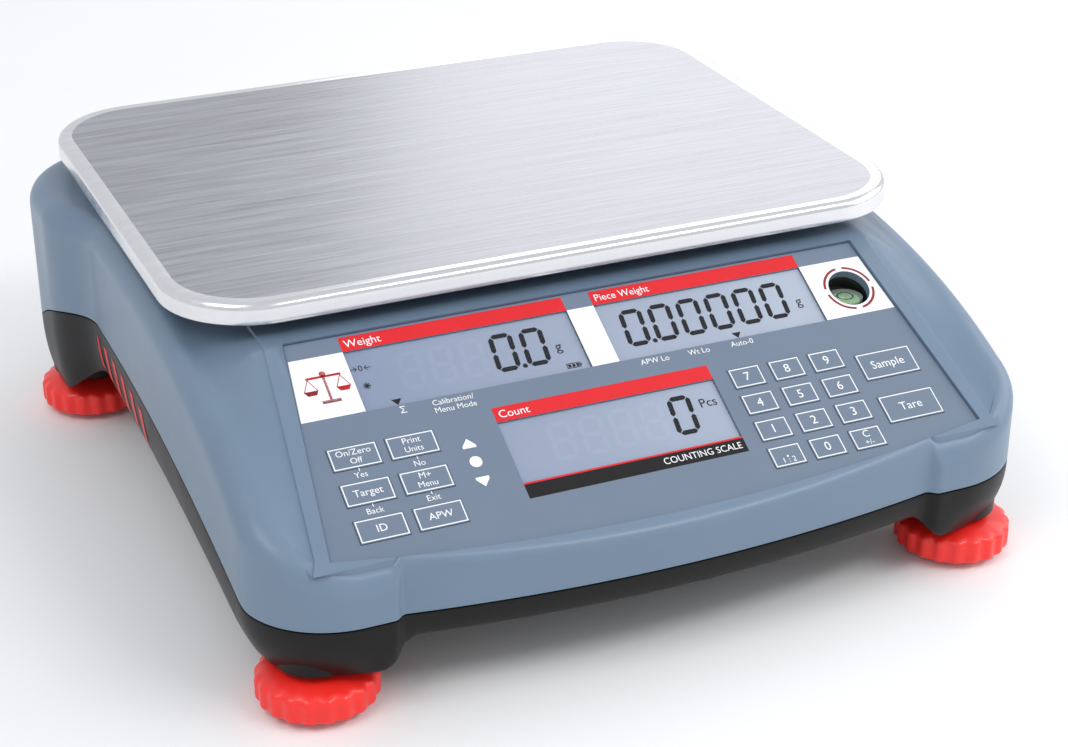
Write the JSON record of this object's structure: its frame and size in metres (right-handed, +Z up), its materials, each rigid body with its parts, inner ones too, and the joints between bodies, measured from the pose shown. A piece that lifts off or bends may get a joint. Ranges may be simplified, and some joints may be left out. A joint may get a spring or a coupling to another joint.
{
  "type": "counting scale",
  "caption": "Bench counting scale: steel pan on a load cell, sloping console with three displays and a keypad, bubble level and red screw feet.",
  "frame": {"origin": "on the table under the middle of the scale's box", "axes": "+X to the user's right, +Y to the rear, +Z up"},
  "size_m": [0.3368, 0.323, 0.119],
  "materials": {
    "pan_steel": "brushed along its width, satin",
    "cast_alloy": "cast, fine grain",
    "machined_alloy": "machined satin",
    "rubber": "matt",
    "housing_blue": "fine moulded texture",
    "housing_black": "fine moulded texture",
    "overlay_film": "printed satin film",
    "window_film": "clear satin",
    "lcd_glass": "grey-blue display glass",
    "circuit_board": "green solder mask",
    "black_plastic": "satin",
    "clear_plastic": "clear, polished",
    "level_fluid": "clear green liquid",
    "plated_steel": "zinc plated",
    "battery_case": "moulded case",
    "brass": "turned",
    "wire_sleeve": "smooth sleeve",
    "knob_red": "smooth moulded",
    "key_film": "embossed printed film"
  },
  "bodies": {
    "base": {"upper_housing": "housing_blue", "lower_housing": "housing_black", "keypad_overlay": "overlay_film", "display_windows": "window_film", "weight_display": "lcd_glass", "piece_display": "lcd_glass", "count_display": "lcd_glass", "display_board": "circuit_board", "level_holder": "black_plastic", "level_vial": "clear_plastic", "level_fluid": "level_fluid", "main_board": "circuit_board", "power_board": "circuit_board", "power_inlet": "black_plastic", "serial_port": "plated_steel", "battery": "battery_case", "battery_cover": "housing_black", "chassis_plate": "cast_alloy", "load_cell": "machined_alloy", "cell_spacer": "machined_alloy", "cell_bolts": "plated_steel", "overload_stop": "plated_steel", "housing_screws": "plated_steel", "board_screws": "plated_steel", "foot_inserts": "brass", "internal_wiring": "wire_sleeve"},
    "platform": {"pan_support": "cast_alloy", "pan_pads": "rubber", "platform_spacer": "machined_alloy", "platform_bolts": "plated_steel"},
    "pan": {"weighing_pan": "pan_steel"},
    "pad_front_left": {"foot_pad_front_left": "rubber"},
    "knob_front_left": {"foot_knob_front_left": "knob_red"},
    "pad_front_right": {"foot_pad_front_right": "rubber"},
    "knob_front_right": {"foot_knob_front_right": "knob_red"},
    "pad_rear_left": {"foot_pad_rear_left": "rubber"},
    "knob_rear_left": {"foot_knob_rear_left": "knob_red"},
    "pad_rear_right": {"foot_pad_rear_right": "rubber"},
    "knob_rear_right": {"foot_knob_rear_right": "knob_red"},
    "key_on_zero": {"key_on_zero": "key_film"},
    "key_print": {"key_print": "key_film"},
    "key_target": {"key_target": "key_film"},
    "key_menu": {"key_menu": "key_film"},
    "key_id": {"key_id": "key_film"},
    "key_apw": {"key_apw": "key_film"},
    "key_7": {"key_7": "key_film"},
    "key_8": {"key_8": "key_film"},
    "key_9": {"key_9": "key_film"},
    "key_4": {"key_4": "key_film"},
    "key_5": {"key_5": "key_film"},
    "key_6": {"key_6": "key_film"},
    "key_1": {"key_1": "key_film"},
    "key_2": {"key_2": "key_film"},
    "key_3": {"key_3": "key_film"},
    "key_point": {"key_point": "key_film"},
    "key_0": {"key_0": "key_film"},
    "key_clear": {"key_clear": "key_film"},
    "key_sample": {"key_sample": "key_film"},
    "key_tare": {"key_tare": "key_film"}
  },
  "joints": [
    {"name": "platform_deflection", "type": "slide", "parent": "base", "child": "platform", "axis": [0, 0, -1], "range_m": [0, 0.0003], "stiffness_N_per_m": 73500, "springref_m": -0.0004, "deforming": ["load_cell"]},
    {"name": "pan_lift", "type": "slide", "parent": "platform", "child": "pan", "axis": [0, 0, 1], "range_m": [0, 0.08]},
    {"name": "foot_height_front_left", "type": "slide", "parent": "base", "child": "pad_front_left", "axis": [0, 0, -1], "range_m": [0, 0.006]},
    {"name": "foot_turn_front_left", "type": "hinge", "parent": "pad_front_left", "child": "knob_front_left", "pos_m": [-0.1295, -0.1335, 0.01], "axis": [0, 0, -1], "range_deg": [0, 1440]},
    {"name": "foot_height_front_right", "type": "slide", "parent": "base", "child": "pad_front_right", "axis": [0, 0, -1], "range_m": [0, 0.006]},
    {"name": "foot_turn_front_right", "type": "hinge", "parent": "pad_front_right", "child": "knob_front_right", "pos_m": [0.1295, -0.1335, 0.01], "axis": [0, 0, -1], "range_deg": [0, 1440]},
    {"name": "foot_height_rear_left", "type": "slide", "parent": "base", "child": "pad_rear_left", "axis": [0, 0, -1], "range_m": [0, 0.006]},
    {"name": "foot_turn_rear_left", "type": "hinge", "parent": "pad_rear_left", "child": "knob_rear_left", "pos_m": [-0.1465, 0.121, 0.01], "axis": [0, 0, -1], "range_deg": [0, 1440]},
    {"name": "foot_height_rear_right", "type": "slide", "parent": "base", "child": "pad_rear_right", "axis": [0, 0, -1], "range_m": [0, 0.006]},
    {"name": "foot_turn_rear_right", "type": "hinge", "parent": "pad_rear_right", "child": "knob_rear_right", "pos_m": [0.1465, 0.121, 0.01], "axis": [0, 0, -1], "range_deg": [0, 1440]},
    {"name": "key_on_zero_press", "type": "slide", "parent": "base", "child": "key_on_zero", "axis": [0, 0.4752, -0.8799], "range_m": [0, 0.0004], "stiffness_N_per_m": 1500, "springref_m": -0.0004},
    {"name": "key_print_press", "type": "slide", "parent": "base", "child": "key_print", "axis": [0, 0.4752, -0.8799], "range_m": [0, 0.0004], "stiffness_N_per_m": 1500, "springref_m": -0.0004},
    {"name": "key_target_press", "type": "slide", "parent": "base", "child": "key_target", "axis": [0, 0.4752, -0.8799], "range_m": [0, 0.0004], "stiffness_N_per_m": 1500, "springref_m": -0.0004},
    {"name": "key_menu_press", "type": "slide", "parent": "base", "child": "key_menu", "axis": [0, 0.4752, -0.8799], "range_m": [0, 0.0004], "stiffness_N_per_m": 1500, "springref_m": -0.0004},
    {"name": "key_id_press", "type": "slide", "parent": "base", "child": "key_id", "axis": [0, 0.4752, -0.8799], "range_m": [0, 0.0004], "stiffness_N_per_m": 1500, "springref_m": -0.0004},
    {"name": "key_apw_press", "type": "slide", "parent": "base", "child": "key_apw", "axis": [0, 0.4752, -0.8799], "range_m": [0, 0.0004], "stiffness_N_per_m": 1500, "springref_m": -0.0004},
    {"name": "key_7_press", "type": "slide", "parent": "base", "child": "key_7", "axis": [0, 0.4752, -0.8799], "range_m": [0, 0.0004], "stiffness_N_per_m": 1500, "springref_m": -0.0004},
    {"name": "key_8_press", "type": "slide", "parent": "base", "child": "key_8", "axis": [0, 0.4752, -0.8799], "range_m": [0, 0.0004], "stiffness_N_per_m": 1500, "springref_m": -0.0004},
    {"name": "key_9_press", "type": "slide", "parent": "base", "child": "key_9", "axis": [0, 0.4752, -0.8799], "range_m": [0, 0.0004], "stiffness_N_per_m": 1500, "springref_m": -0.0004},
    {"name": "key_4_press", "type": "slide", "parent": "base", "child": "key_4", "axis": [0, 0.4752, -0.8799], "range_m": [0, 0.0004], "stiffness_N_per_m": 1500, "springref_m": -0.0004},
    {"name": "key_5_press", "type": "slide", "parent": "base", "child": "key_5", "axis": [0, 0.4752, -0.8799], "range_m": [0, 0.0004], "stiffness_N_per_m": 1500, "springref_m": -0.0004},
    {"name": "key_6_press", "type": "slide", "parent": "base", "child": "key_6", "axis": [0, 0.4752, -0.8799], "range_m": [0, 0.0004], "stiffness_N_per_m": 1500, "springref_m": -0.0004},
    {"name": "key_1_press", "type": "slide", "parent": "base", "child": "key_1", "axis": [0, 0.4752, -0.8799], "range_m": [0, 0.0004], "stiffness_N_per_m": 1500, "springref_m": -0.0004},
    {"name": "key_2_press", "type": "slide", "parent": "base", "child": "key_2", "axis": [0, 0.4752, -0.8799], "range_m": [0, 0.0004], "stiffness_N_per_m": 1500, "springref_m": -0.0004},
    {"name": "key_3_press", "type": "slide", "parent": "base", "child": "key_3", "axis": [0, 0.4752, -0.8799], "range_m": [0, 0.0004], "stiffness_N_per_m": 1500, "springref_m": -0.0004},
    {"name": "key_point_press", "type": "slide", "parent": "base", "child": "key_point", "axis": [0, 0.4752, -0.8799], "range_m": [0, 0.0004], "stiffness_N_per_m": 1500, "springref_m": -0.0004},
    {"name": "key_0_press", "type": "slide", "parent": "base", "child": "key_0", "axis": [0, 0.4752, -0.8799], "range_m": [0, 0.0004], "stiffness_N_per_m": 1500, "springref_m": -0.0004},
    {"name": "key_clear_press", "type": "slide", "parent": "base", "child": "key_clear", "axis": [0, 0.4752, -0.8799], "range_m": [0, 0.0004], "stiffness_N_per_m": 1500, "springref_m": -0.0004},
    {"name": "key_sample_press", "type": "slide", "parent": "base", "child": "key_sample", "axis": [0, 0.4752, -0.8799], "range_m": [0, 0.0004], "stiffness_N_per_m": 1500, "springref_m": -0.0004},
    {"name": "key_tare_press", "type": "slide", "parent": "base", "child": "key_tare", "axis": [0, 0.4752, -0.8799], "range_m": [0, 0.0004], "stiffness_N_per_m": 1500, "springref_m": -0.0004}
  ],
  "couplings": [
    {"joint": "foot_turn_front_left", "follows": "foot_height_front_left", "rad_per_m": 4188.8},
    {"joint": "foot_turn_front_right", "follows": "foot_height_front_right", "rad_per_m": 4188.8},
    {"joint": "foot_turn_rear_left", "follows": "foot_height_rear_left", "rad_per_m": 4188.8},
    {"joint": "foot_turn_rear_right", "follows": "foot_height_rear_right", "rad_per_m": 4188.8}
  ]
}
